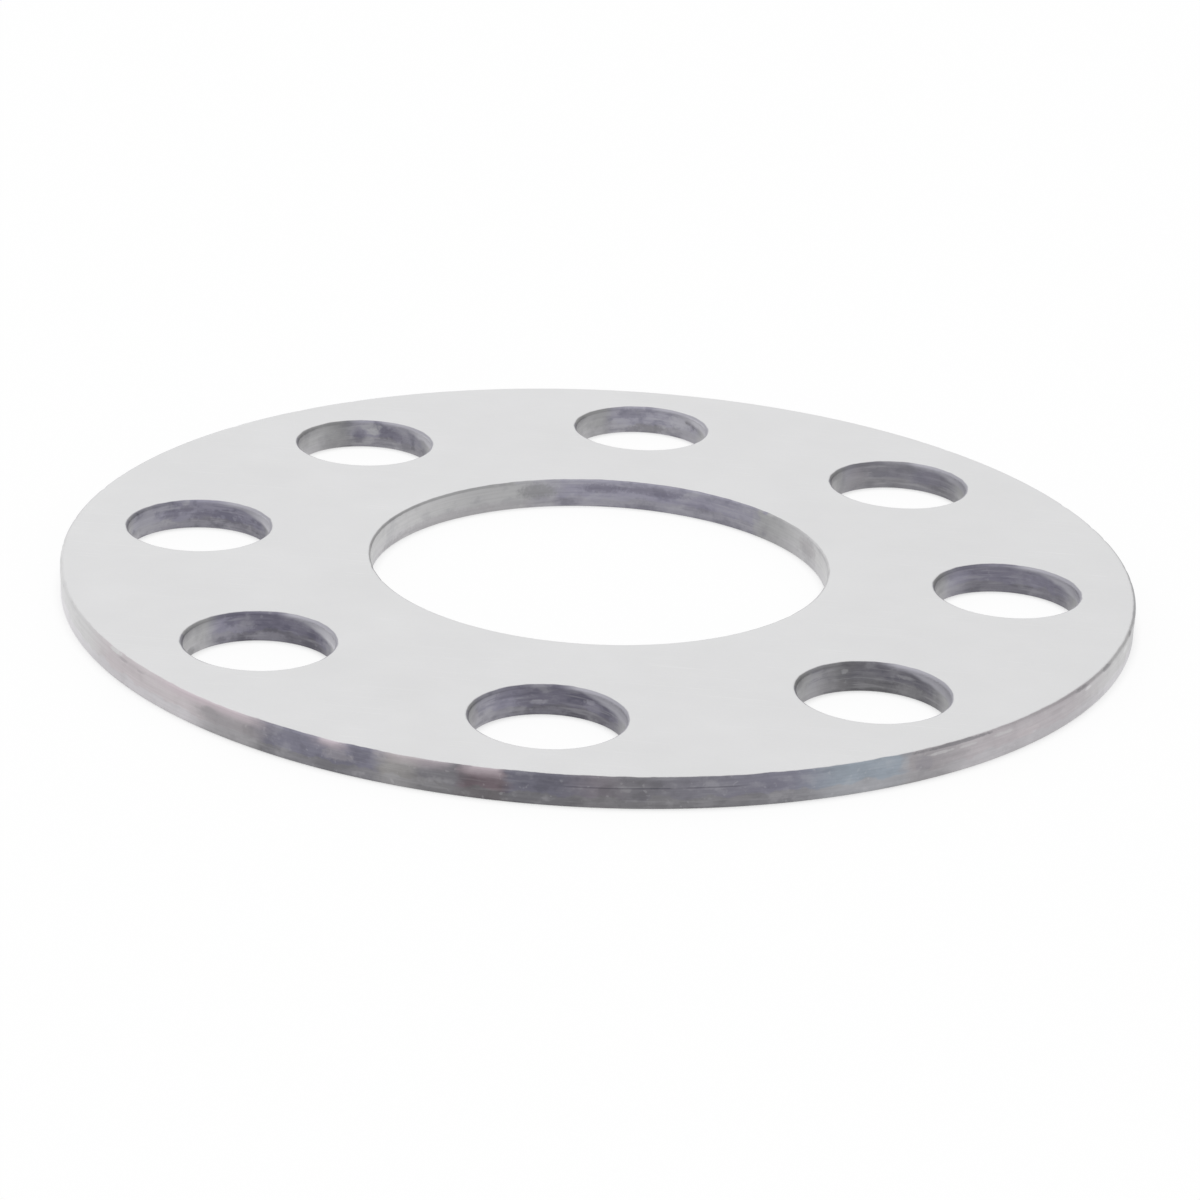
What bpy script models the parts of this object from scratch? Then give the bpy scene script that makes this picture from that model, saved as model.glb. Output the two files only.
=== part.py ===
"""Slip-on wheel spacer: one flat steel ring that goes between a wheel hub and a wheel.

The ring is blanked from plate. It has a bore that clears the hub's spigot, and a circle of
equal holes for the wheel studs. The blanking tool leaves every edge of the upper face rolled
over in a small radius. The edges of the lower face are broken with a small 45 degree chamfer.

Lengths are in metres. The origin is on the ring's axis in the plane of the lower face, and +Z
points up through the plate. The first stud hole is centred on +X.
"""

import math

import bpy

# Bolt pattern
PITCH_CIRCLE_DIAMETER = 0.100
STUD_HOLE_COUNT = 8
STUD_HOLE_DIAMETER = 0.0175

# Plate, with the land of metal that is left between each stud hole and the rim
HUB_BORE_DIAMETER = 0.0561
RIM_LAND = 0.00685
PLATE_THICKNESS = 0.0037
OUTER_DIAMETER = PITCH_CIRCLE_DIAMETER + STUD_HOLE_DIAMETER + 2 * RIM_LAND

# Edges: rolled over at the upper face, chamfered at the lower face
RIM_ROLL_RADIUS = 0.00045
BORE_ROLL_RADIUS = 0.00035
STUD_HOLE_ROLL_RADIUS = 0.00045
EDGE_CHAMFER = 0.00025

# Fineness of the round forms, in steps round the axis and along each rolled edge
RING_STEPS = 192
STUD_HOLE_STEPS = 48
ROLL_STEPS = 2

# How far a cutter stands out past each face of the plate
CUTTER_OVERRUN = 0.001
MERGE_DISTANCE = 0.000001

STEEL_COLOUR = (0.62, 0.62, 0.63, 1.0)
STEEL_ROUGHNESS = 0.38


def clear_scene():
    for obj in list(bpy.data.objects):
        bpy.data.objects.remove(obj, do_unlink=True)


def new_collection(name):
    collection = bpy.data.collections.new(name)
    bpy.context.scene.collection.children.link(collection)
    return collection


def steel_material():
    material = bpy.data.materials.new("bare_steel")
    material.use_nodes = True
    shader = material.node_tree.nodes["Principled BSDF"]
    shader.inputs["Base Color"].default_value = STEEL_COLOUR
    shader.inputs["Metallic"].default_value = 1.0
    shader.inputs["Roughness"].default_value = STEEL_ROUGHNESS
    return material


def arc(centre_radius, centre_height, radius, start_degrees, end_degrees):
    """Points (radius from the axis, height) along an arc, with 0 degrees pointing outward."""
    points = []
    for step in range(ROLL_STEPS + 1):
        share = step / ROLL_STEPS
        angle = math.radians(start_degrees + share * (end_degrees - start_degrees))
        points.append(
            (
                centre_radius + radius * math.cos(angle),
                centre_height + radius * math.sin(angle),
            )
        )
    return points


def turned_object(name, profile, closed, steps, collection):
    """Turns a profile of (radius, height) points about the object's Z axis."""
    mesh = bpy.data.meshes.new(name)
    edges = [(i, i + 1) for i in range(len(profile) - 1)]
    if closed:
        edges.append((len(profile) - 1, 0))
    mesh.from_pydata([(radius, 0.0, height) for radius, height in profile], edges, [])
    obj = bpy.data.objects.new(name, mesh)
    collection.objects.link(obj)
    screw = obj.modifiers.new("Turn", "SCREW")
    screw.axis = "Z"
    screw.angle = 2 * math.pi
    screw.steps = steps
    screw.render_steps = steps
    screw.use_merge_vertices = True
    screw.merge_threshold = MERGE_DISTANCE
    screw.use_smooth_shade = True
    return obj


def ring_profile():
    """The ring's section, down its rim, in along the lower face and up its bore."""
    rim = OUTER_DIAMETER / 2
    bore = HUB_BORE_DIAMETER / 2
    rim_roll = arc(rim - RIM_ROLL_RADIUS, PLATE_THICKNESS - RIM_ROLL_RADIUS, RIM_ROLL_RADIUS, 90, 0)
    rim_chamfer = [(rim, EDGE_CHAMFER), (rim - EDGE_CHAMFER, 0.0)]
    bore_chamfer = [(bore + EDGE_CHAMFER, 0.0), (bore, EDGE_CHAMFER)]
    bore_roll = arc(
        bore + BORE_ROLL_RADIUS, PLATE_THICKNESS - BORE_ROLL_RADIUS, BORE_ROLL_RADIUS, 180, 90
    )
    return rim_roll + rim_chamfer + bore_chamfer + bore_roll


def stud_hole_profile():
    """The section of what a stud hole removes, from its axis above the plate to its axis below."""
    hole = STUD_HOLE_DIAMETER / 2
    top = PLATE_THICKNESS + CUTTER_OVERRUN
    roll = arc(
        hole + STUD_HOLE_ROLL_RADIUS,
        PLATE_THICKNESS - STUD_HOLE_ROLL_RADIUS,
        STUD_HOLE_ROLL_RADIUS,
        90,
        180,
    )
    mouth = hole + EDGE_CHAMFER + CUTTER_OVERRUN
    above = [(0.0, top), (hole + STUD_HOLE_ROLL_RADIUS, top)]
    below = [(hole, EDGE_CHAMFER), (mouth, -CUTTER_OVERRUN), (0.0, -CUTTER_OVERRUN)]
    return above + roll + below


def make_stud_hole_cutters(collection):
    """One cutter for each stud hole, spaced evenly round the pitch circle."""
    for index in range(STUD_HOLE_COUNT):
        angle = 2 * math.pi * index / STUD_HOLE_COUNT
        name = f"stud_hole_cutter_{index + 1}"
        cutter = turned_object(name, stud_hole_profile(), False, STUD_HOLE_STEPS, collection)
        reach = PITCH_CIRCLE_DIAMETER / 2
        cutter.location = (reach * math.cos(angle), reach * math.sin(angle), 0.0)
        cutter.rotation_euler = (0.0, 0.0, angle)
        cutter.hide_render = True
        cutter.display_type = "WIRE"


def make_spacer_plate(collection, cutters):
    """The ring with its stud holes cut through."""
    plate = turned_object("spacer_plate", ring_profile(), True, RING_STEPS, collection)
    plate.data.materials.append(steel_material())
    cut = plate.modifiers.new("Stud holes", "BOOLEAN")
    cut.operation = "DIFFERENCE"
    cut.solver = "EXACT"
    cut.operand_type = "COLLECTION"
    cut.collection = cutters
    # Wide faces keep their own direction, so the faces stay flat and only the edges shade round.
    plate.modifiers.new("Flat faces", "WEIGHTED_NORMAL")
    return plate


def main():
    clear_scene()
    spacer = new_collection("wheel_spacer")
    cutters = new_collection("cutters")
    cutters.hide_render = True
    make_stud_hole_cutters(cutters)
    make_spacer_plate(spacer, cutters)


main()
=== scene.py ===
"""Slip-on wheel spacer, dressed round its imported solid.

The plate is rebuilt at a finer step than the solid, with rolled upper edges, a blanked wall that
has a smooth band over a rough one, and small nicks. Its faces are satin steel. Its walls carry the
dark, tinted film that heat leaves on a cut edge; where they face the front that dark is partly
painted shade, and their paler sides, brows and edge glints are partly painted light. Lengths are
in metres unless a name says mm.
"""

import math
import random
import typing

import bmesh
import bpy
from mathutils import Matrix, Vector, noise


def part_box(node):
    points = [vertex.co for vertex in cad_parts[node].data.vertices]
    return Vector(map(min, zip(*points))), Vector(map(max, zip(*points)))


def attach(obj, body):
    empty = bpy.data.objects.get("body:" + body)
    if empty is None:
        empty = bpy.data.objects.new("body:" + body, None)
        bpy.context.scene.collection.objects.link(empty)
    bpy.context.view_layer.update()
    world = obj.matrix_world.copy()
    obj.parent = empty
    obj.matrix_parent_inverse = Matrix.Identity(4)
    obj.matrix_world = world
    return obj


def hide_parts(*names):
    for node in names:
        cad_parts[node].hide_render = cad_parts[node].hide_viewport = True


bl_info = {
    "name": "Wheel Spacer",
    "version": (1, 0, 0),
    "blender": (4, 5, 0),
    "location": "View3D > Sidebar > Wheel Spacer",
    "description": "Makes a slip-on wheel spacer plate in satin steel and the stage it stands on",
    "category": "Add Mesh",
}

PLATE_NODE = "spacer_plate"
MM = 0.001

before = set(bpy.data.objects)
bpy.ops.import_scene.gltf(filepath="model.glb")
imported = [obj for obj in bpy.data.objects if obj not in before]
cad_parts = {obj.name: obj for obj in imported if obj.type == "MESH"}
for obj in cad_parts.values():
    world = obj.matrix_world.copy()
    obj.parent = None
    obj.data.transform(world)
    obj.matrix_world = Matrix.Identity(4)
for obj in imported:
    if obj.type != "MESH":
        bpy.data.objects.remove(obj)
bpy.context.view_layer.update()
PLATE_LOW, PLATE_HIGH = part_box(PLATE_NODE)


# Sizes and colours that a user would change


def length_property(name, description, default):
    return bpy.props.FloatProperty(name=name, description=description, default=default, unit="LENGTH")


def angle_property(name, description, degrees):
    return bpy.props.FloatProperty(
        name=name, description=description, default=math.radians(degrees), subtype="ANGLE"
    )


def share_property(name, description, default):
    return bpy.props.FloatProperty(
        name=name, description=description, default=default, min=0.0, max=1.0, subtype="FACTOR"
    )


def colour_property(name, description, default):
    return bpy.props.FloatVectorProperty(
        name=name, description=description, default=default, subtype="COLOR", size=3, min=0.0, max=1.0
    )


class SpacerSizes(bpy.types.PropertyGroup):
    outer_diameter: length_property(
        "Outer diameter", "Diameter of the rim", PLATE_HIGH.x - PLATE_LOW.x
    )
    thickness: length_property(
        "Thickness", "Distance from the hub face to the wheel face", PLATE_HIGH.z - PLATE_LOW.z
    )
    pitch_circle: length_property(
        "Pitch circle", "Diameter of the circle that the stud holes are centred on", 0.100
    )
    stud_holes: bpy.props.IntProperty(
        name="Stud holes", description="Number of stud holes on the pitch circle", default=8, min=3
    )
    stud_hole: length_property("Stud hole", "Diameter of each stud hole", 0.0175)
    hub_bore: length_property("Hub bore", "Diameter of the bore that clears the hub's spigot", 0.0561)
    rim_roll: length_property(
        "Rim roll", "Radius that blanking leaves on the upper edge of the rim", 0.00045
    )
    bore_roll: length_property(
        "Bore roll", "Radius that piercing leaves on the upper edge of the bore", 0.00035
    )
    stud_hole_roll: length_property(
        "Stud hole roll", "Radius that piercing leaves on the upper edge of a stud hole", 0.00045
    )
    edge_break: length_property("Edge break", "How far the lower edges are broken", 0.00025)
    smooth_band: share_property(
        "Smooth band", "Share of a wall, from the top, that the tool has sheared smooth", 0.4
    )
    tear_depth: length_property(
        "Tear depth", "How far the torn band below lies back from the smooth one", 0.00004
    )
    nick_depth: length_property(
        "Nick depth", "Depth of the deepest handling nick on an upper edge", 0.00010
    )


class SpacerFinish(bpy.types.PropertyGroup):
    steel: colour_property(
        "Satin steel", "Flat faces, and edges that are worn bare", (0.72, 0.72, 0.725)
    )
    # Painted shade: plum, and navy, slate and graphite on the rim, are as dark as the walls that face the
    # front, partly heat film and partly painted shade.
    plum: colour_property(
        "Plum film", "Darkest film in the bore and the stud holes", (0.164, 0.157, 0.201)
    )
    lavender: colour_property(
        "Lavender film", "Thinner violet film in the bore and the stud holes", (0.305, 0.297, 0.362)
    )
    # Painted highlight: mist and gleam are partly thin film and partly painted highlight, on the brow and
    # below the rolled edge on sides that face left; gleam also paints the faintest film where a wall faces
    # sideways.
    mist: colour_property(
        "Mist film", "Thinnest violet film, on the brow of a stud hole", (0.385, 0.380, 0.420)
    )
    gleam: colour_property(
        "Gleaming film",
        "Faint violet film just below the rolled edge of a stud hole",
        (0.715, 0.708, 0.742),
    )
    navy: colour_property("Navy film", "Darkest blue of the film on the rim", (0.160, 0.157, 0.192))
    slate: colour_property(
        "Slate film", "Blue grey film on the front of the rim", (0.212, 0.208, 0.256)
    )
    graphite: colour_property(
        "Graphite film", "Neutral dark film on the front of the rim", (0.192, 0.187, 0.203)
    )
    mauve: colour_property(
        "Mauve film", "Red violet film on the front of the rim", (0.222, 0.204, 0.228)
    )
    olive: colour_property(
        "Olive film", "Grey green patch of the film on the rim", (0.300, 0.291, 0.290)
    )
    rust: colour_property("Rust", "Red brown bloom on the rim", (0.170, 0.138, 0.154))
    teal: colour_property(
        "Teal film", "Blue green patch of the film on the rim", (0.322, 0.358, 0.405)
    )
    dusk: colour_property(
        "Dusk grey film", "Thin grey film between dark and pale stretches", (0.345, 0.328, 0.342)
    )
    rose: colour_property("Rose grey film", "Thin warm film on the rim", (0.480, 0.452, 0.470))
    blush: colour_property("Blush film", "Faintest warm film on the rim", (0.545, 0.509, 0.525))
    # Painted shade and reflection: dull, pale and bright are the bare walls from the side that faces the
    # front to the sides and the left of the plate, and bright is also the pale ends of the rim.
    dull: colour_property(
        "Dull wall", "Bare wall beside the film, where it is darkest", (0.265, 0.265, 0.272)
    )
    pale: colour_property("Pale wall", "Bare wall far from the film", (0.480, 0.480, 0.490))
    bright: colour_property("Bright wall", "Rim wall with no film", (0.600, 0.597, 0.600))


class SpacerStage(bpy.types.PropertyGroup):
    camera_elevation: angle_property("Camera elevation", "Angle of the camera above the floor", 21.55)
    camera_azimuth: angle_property(
        "Camera azimuth", "Angle of the camera round the plate, from the front to the right", 5.54
    )
    camera_roll: angle_property(
        "Camera roll", "Tilt of the camera about its own line of sight", 2.65
    )
    camera_distance: length_property(
        "Camera distance", "Distance of the camera from the point that it aims at", 0.46091
    )
    aim_right: length_property(
        "Aim to the right",
        "How far the aim lies to the right of the plate's origin in the picture",
        0.000245,
    )
    aim_up: length_property(
        "Aim upward", "How far the aim lies above the plate's origin in the picture", -0.001811
    )
    lens_mm: bpy.props.FloatProperty(
        name="Lens",
        description="Focal length in millimetres, on a sensor 36 mm wide",
        default=112.21,
        unit="CAMERA",
    )
    backdrop: colour_property("Backdrop", "Colour of the floor and the backdrop", (1.0, 1.0, 1.0))
    softbox_radiance: bpy.props.FloatProperty(
        name="Softbox brightness",
        description="Brightness of the softbox, where 1 is white",
        default=0.35,
        min=0.0,
    )
    shade_side: share_property(
        "Shaded side", "Brightness of the backdrop on its darker side, where 1 is white", 0.50
    )


# The plate's mesh

RIM_STEPS = 960
BORE_STEPS = 480
STUD_HOLE_STEPS = 144
ROLL_STEPS = 6
WALL_ROWS = 12
EDGE_STEPS = 3

# A narrow ring of flat face beside each rolled edge keeps the shading of the face flat.
FLAT_BORDER = 0.15 * MM

# Relief of a blanked wall: upright drag lines in the smooth band, grains in the torn band
DRAG_LINE_PITCH = 0.7 * MM
DRAG_LINE_DEPTH = 0.010 * MM
TORN_GRAIN = 0.55 * MM
TORN_GRAIN_DEPTH = 0.030 * MM
BAND_BLEND = 0.15 * MM

# Change up the wall, for each millimetre, of the pattern that the drag lines come from
DRAG_LINE_CLIMB = 0.2

# Nicks: the faintest is this share of the deepest, and each ends this many half widths away
NICK_SEED = 17
FAINTEST_NICK = 0.2
NICK_REACH = 3.0
NICK_HALF_WIDTH = 0.55 * MM
RIM_NICKS = 26
BORE_NICKS = 9

# Share of a nick's depth that it goes inward, and as much downward
NICK_SLANT = 0.7

FACE, RIM_WALL, BORE_WALL, STUD_HOLE_WALL = range(4)

# Where the plate's own axis crosses its lower face
AXIS = Vector((0.0, 0.0, 0.0))


def smooth_step(low, high, value):
    share = min(max((value - low) / (high - low), 0.0), 1.0)
    return share * share * (3.0 - 2.0 * share)


def edge_section(sizes, roll):
    """Points (distance into the metal, height) from the upper face to the lower one.

    They go over the rolled edge, down the wall and round the broken lower edge. The first and the
    last lie on the faces, so that a flat border runs beside each edge.
    """
    top = sizes.thickness
    broken = sizes.edge_break
    points = [(roll + FLAT_BORDER, top)]
    for step in range(ROLL_STEPS + 1):
        turn = 0.5 * math.pi * step / ROLL_STEPS
        points.append((roll * (1.0 - math.sin(turn)), top - roll * (1.0 - math.cos(turn))))
    for row in range(1, WALL_ROWS):
        share = row / WALL_ROWS
        points.append((0.0, top - roll - share * (top - roll - broken)))
    for step in range(EDGE_STEPS + 1):
        turn = 0.5 * math.pi * step / EDGE_STEPS
        points.append((broken * (1.0 - math.cos(turn)), broken * (1.0 - math.sin(turn))))
    points.append((broken + FLAT_BORDER, 0.0))
    return points


def noise_share(place):
    """Soft noise, from 0 to 1."""
    return 0.5 + 0.5 * noise.noise(place)


def wall_relief(sizes, place, roll):
    """How far the wall lies back into the metal at a place on it."""
    top = sizes.thickness - roll
    line = sizes.thickness * (1.0 - sizes.smooth_band)
    on_wall = smooth_step(0.0, sizes.edge_break + BAND_BLEND, place.z)
    on_wall *= 1.0 - smooth_step(top - BAND_BLEND, top, place.z)
    torn = 1.0 - smooth_step(line - BAND_BLEND, line + BAND_BLEND, place.z)
    climb = DRAG_LINE_CLIMB * place.z / MM
    upright = Vector((place.x / DRAG_LINE_PITCH, place.y / DRAG_LINE_PITCH, climb))
    drag = DRAG_LINE_DEPTH * noise_share(upright)
    grain = TORN_GRAIN_DEPTH * noise_share(place / TORN_GRAIN)
    return on_wall * ((1.0 - torn) * drag + torn * (sizes.tear_depth + grain))


def make_nicks(count, generator):
    """Places and strengths of the nicks along one upper edge, as (angle, strength)."""
    nicks = []
    for _ in range(count):
        angle = generator.uniform(0.0, 2.0 * math.pi)
        nicks.append((angle, generator.uniform(FAINTEST_NICK, 1.0)))
    return nicks


def nick_depth(sizes, nicks, angle, radius):
    deepest = 0.0
    for place, strength in nicks:
        apart = abs((angle - place + math.pi) % (2.0 * math.pi) - math.pi) * radius
        if apart < NICK_REACH * NICK_HALF_WIDTH:
            dent = strength * math.exp(-((apart / NICK_HALF_WIDTH) ** 2))
            deepest = max(deepest, dent)
    return sizes.nick_depth * deepest


def add_edge_band(bm, sizes, centre, radius, roll, into_metal, steps, nicks, slot):
    """Adds one closed wall with its edges and returns its border loops, upper and lower.

    into_metal is 1 where the metal lies outside the circle, as round a hole, and -1 at the rim.
    """
    section = edge_section(sizes, roll)
    rows = [[] for _ in section]
    for step in range(steps):
        angle = 2.0 * math.pi * step / steps
        outward = Vector((math.cos(angle), math.sin(angle), 0.0))
        dent = nick_depth(sizes, nicks, angle, radius) if nicks else 0.0
        for row, (inset, height) in enumerate(section):
            on_edge = 0.0
            if 1 < row <= ROLL_STEPS + 1:
                on_edge = math.sin(math.pi * (row - 1) / (ROLL_STEPS + 1))
            dip = NICK_SLANT * dent * on_edge
            place = centre + outward * radius + Vector((0.0, 0.0, height))
            inset += wall_relief(sizes, place, roll) + dip
            place += outward * into_metal * inset
            place.z -= dip
            rows[row].append(bm.verts.new(place))
    for row in range(len(rows) - 1):
        flat = row in (0, len(rows) - 2)
        for step in range(steps):
            after = (step + 1) % steps
            corners = [
                rows[row][step],
                rows[row + 1][step],
                rows[row + 1][after],
                rows[row][after],
            ]
            if into_metal > 0:
                corners.reverse()
            face = bm.faces.new(corners)
            face.smooth = True
            face.material_index = FACE if flat else slot
    return rows[0], rows[-1]


def fill_flat_face(bm, loops):
    """Closes one flat face between its border loops."""
    edges = []
    for loop in loops:
        for index, vertex in enumerate(loop):
            edges.append(bm.edges.get((vertex, loop[index - 1])))
    filled = bmesh.ops.triangle_fill(bm, edges=edges, use_beauty=True, use_dissolve=False)
    for item in filled["geom"]:
        if isinstance(item, bmesh.types.BMFace):
            item.smooth = True
            item.material_index = FACE


def stud_hole_centres(sizes):
    centres = []
    for index in range(sizes.stud_holes):
        angle = 2.0 * math.pi * index / sizes.stud_holes
        centres.append(Vector((math.cos(angle), math.sin(angle), 0.0)) * sizes.pitch_circle / 2.0)
    return centres


def plate_mesh(sizes):
    generator = random.Random(NICK_SEED)
    rim_nicks = make_nicks(RIM_NICKS, generator)
    bore_nicks = make_nicks(BORE_NICKS, generator)
    rim = sizes.outer_diameter / 2.0
    bore = sizes.hub_bore / 2.0
    bm = bmesh.new()
    borders = [
        add_edge_band(bm, sizes, AXIS, rim, sizes.rim_roll, -1.0, RIM_STEPS, rim_nicks, RIM_WALL),
        add_edge_band(bm, sizes, AXIS, bore, sizes.bore_roll, 1.0, BORE_STEPS, bore_nicks, BORE_WALL),
    ]
    hole = sizes.stud_hole / 2.0
    roll = sizes.stud_hole_roll
    for centre in stud_hole_centres(sizes):
        borders.append(
            add_edge_band(bm, sizes, centre, hole, roll, 1.0, STUD_HOLE_STEPS, [], STUD_HOLE_WALL)
        )
    fill_flat_face(bm, [upper for upper, lower in borders])
    fill_flat_face(bm, [lower for upper, lower in borders])
    bmesh.ops.recalc_face_normals(bm, faces=bm.faces)
    mesh = bpy.data.meshes.new("blanked_plate")
    bm.to_mesh(mesh)
    bm.free()
    return mesh


# Node helpers

NUMBER = "NodeSocketFloat"
COLOUR = "NodeSocketColor"


class Signal:
    """A value, colour or place that runs through a node tree, and can be added to or multiplied."""

    def __init__(self, tree, socket):
        self.tree = tree
        self.socket = socket

    def __add__(self, other):
        return maths("ADD", self, other)

    def __sub__(self, other):
        return maths("SUBTRACT", self, other)

    def __rsub__(self, other):
        return maths("SUBTRACT", other, self)

    def __mul__(self, other):
        return maths("MULTIPLY", self, other)

    def __mod__(self, other):
        return maths("MODULO", self, other)


def feed(socket, source):
    """Links a signal to a socket, or writes a plain value on it."""
    if isinstance(source, Signal):
        source.tree.links.new(source.socket, socket)
    else:
        socket.default_value = source


def place_node(tree, kind, inputs=None, **settings):
    """A new node with its settings made, and its inputs fed by name or number."""
    node = tree.nodes.new(kind)
    for name, value in settings.items():
        setattr(node, name, value)
    for name, value in (inputs or {}).items():
        feed(node.inputs[name], value)
    return node


def signal_from(tree, kind, output, inputs=None, **settings):
    """One output of a new node."""
    return Signal(tree, place_node(tree, kind, inputs, **settings).outputs[output])


def all_signals(tree, node):
    return {socket.name: Signal(tree, socket) for socket in node.outputs}


def tree_of(*values):
    """The tree of the first signal among some values."""
    return next(value.tree for value in values if isinstance(value, Signal))


def maths(operation, first, second=0.0, clamp=False):
    inputs = {0: first, 1: second}
    tree = tree_of(first, second)
    return signal_from(tree, "ShaderNodeMath", 0, inputs, operation=operation, use_clamp=clamp)


def larger(first, second):
    return maths("MAXIMUM", first, second)


def smooth_range(value, low, high, first=0.0, last=1.0):
    """Eases a value from first to last as it goes from low to high."""
    inputs = {"Value": value, "From Min": low, "From Max": high, "To Min": first, "To Max": last}
    ease = {"interpolation_type": "SMOOTHSTEP"}
    return signal_from(value.tree, "ShaderNodeMapRange", "Result", inputs, **ease)


def between(value, low, high, softness, end_softness=None):
    """1 where a value lies between two others, with soft ends."""
    if end_softness is None:
        end_softness = softness
    risen = smooth_range(value, low - softness, low + softness)
    fallen = smooth_range(value, high - end_softness, high + end_softness, first=1.0, last=0.0)
    return risen * fallen


def vector_maths(operation, first, second=None, output="Vector"):
    inputs = {0: first} if second is None else {0: first, 1: second}
    tree = tree_of(first, second)
    return signal_from(tree, "ShaderNodeVectorMath", output, inputs, operation=operation)


def along(places, direction):
    """How far a place lies along a direction."""
    return vector_maths("DOT_PRODUCT", places, direction, output="Value")


def rgba(colour):
    return (colour[0], colour[1], colour[2], 1.0)


def mix_colours(share, first, second, blend="MIX"):
    inputs = {"Factor": share, 6: first, 7: second}
    tree = tree_of(share, first, second)
    return signal_from(tree, "ShaderNodeMix", 2, inputs, data_type="RGBA", blend_type=blend)


def scaled(colour, level):
    """A colour made lighter or darker by a level."""
    inputs = {0: colour, "Scale": level}
    return signal_from(tree_of(colour, level), "ShaderNodeVectorMath", 0, inputs, operation="SCALE")


def brightness(colour):
    return signal_from(colour.tree, "ShaderNodeRGBToBW", 0, {0: colour})


def greyed(colour, tint):
    """A colour with its hue taken out, and a slight tint put in."""
    return scaled(tint, brightness(colour))


def noise_value(places, scale, detail=2.0, roughness=0.5):
    inputs = {"Vector": places, "Scale": scale, "Detail": detail, "Roughness": roughness}
    return signal_from(places.tree, "ShaderNodeTexNoise", "Fac", inputs)


def stretched(places, scale, turn=0.0):
    """Places scaled by a different amount along each axis, after a turn about Z."""
    inputs = {"Vector": places, "Rotation": (0.0, 0.0, turn), "Scale": scale}
    return signal_from(places.tree, "ShaderNodeMapping", 0, inputs, vector_type="POINT")


def in_millimetres(tree):
    """The piece's own coordinates, in millimetres."""
    return stretched(signal_from(tree, "ShaderNodeTexCoord", "Object"), (1000.0, 1000.0, 1000.0))


def split(places):
    """The X, Y and Z of a place or a direction."""
    node = place_node(places.tree, "ShaderNodeSeparateXYZ", {0: places})
    return [Signal(places.tree, socket) for socket in node.outputs]


def turn_round(places):
    """The angle round the Z axis, in radians from -pi to pi."""
    x, y, _ = split(places)
    return maths("ARCTAN2", y, x)


def degrees_round(places):
    """The angle round the Z axis, in degrees from 0 at +X to 360."""
    return (turn_round(places) + 2.0 * math.pi) % (2.0 * math.pi) * (180.0 / math.pi)


def new_group(name, inputs, outputs):
    """A shader node group, from its inputs with their defaults and its outputs with their kinds."""
    tree = bpy.data.node_groups.new(name, "ShaderNodeTree")
    for socket_name, default in inputs.items():
        kind = COLOUR if isinstance(default, tuple) else NUMBER
        socket = tree.interface.new_socket(socket_name, in_out="INPUT", socket_type=kind)
        socket.default_value = default
    for socket_name, kind in outputs.items():
        tree.interface.new_socket(socket_name, in_out="OUTPUT", socket_type=kind)
    given = all_signals(tree, tree.nodes.new("NodeGroupInput"))
    return tree, given, tree.nodes.new("NodeGroupOutput").inputs


def use_group(tree, group, **values):
    """Places a node group, feeds its inputs, with underscores for spaces, and gives its outputs."""
    node = place_node(tree, "ShaderNodeGroup", node_tree=group)
    for name, value in values.items():
        feed(node.inputs[name.replace("_", " ").capitalize()], value)
    return all_signals(tree, node)


# Effects that more than one material uses

# Hair scratches: the direction of each set in radians, and its fineness across it
SCRATCH_SETS = ((0.35, 7.0), (1.9, 9.0), (2.7, 6.0))


def satin_steel_group():
    """Ground and tumbled steel: soft mottling, a fine grain and a few hair scratches."""
    tree, given, put = new_group(
        "Satin steel",
        {
            "Steel": (0.7, 0.7, 0.7, 1.0),
            "Mottle": 0.05,
            "Grain": 0.05,
            "Scratches": 0.05,
            "Mean roughness": 0.4,
        },
        {"Colour": COLOUR, "Roughness": NUMBER, "Height": NUMBER},
    )
    places = in_millimetres(tree)
    cloud = noise_value(places, 0.11, detail=3.0, roughness=0.55)
    grain = noise_value(places, 3.2, roughness=0.6)
    scratches = 0.0
    for turn, fineness in SCRATCH_SETS:
        lines = stretched(places, (0.045, fineness, 0.4), turn=turn)
        line = smooth_range(noise_value(lines, 1.0, detail=1.0), 0.66, 0.74)
        where = smooth_range(noise_value(places, 0.09 + 0.01 * fineness), 0.50, 0.62)
        scratches = larger(line * where, scratches)
    cloud_shift = (cloud - 0.5) * given["Mottle"]
    grain_shift = (grain - 0.5) * given["Grain"]
    tone = cloud_shift + grain_shift + scratches * given["Scratches"] + 1.0
    feed(put["Colour"], scaled(given["Steel"], tone))
    feed(put["Roughness"], given["Mean roughness"] + cloud_shift * 1.5 + grain_shift * 1.5)
    feed(put["Height"], grain - scratches * 0.8)
    return tree


# How far each whole seed moves the clouds and streaks, in millimetres
SEED_STEP = 61.3


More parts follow.
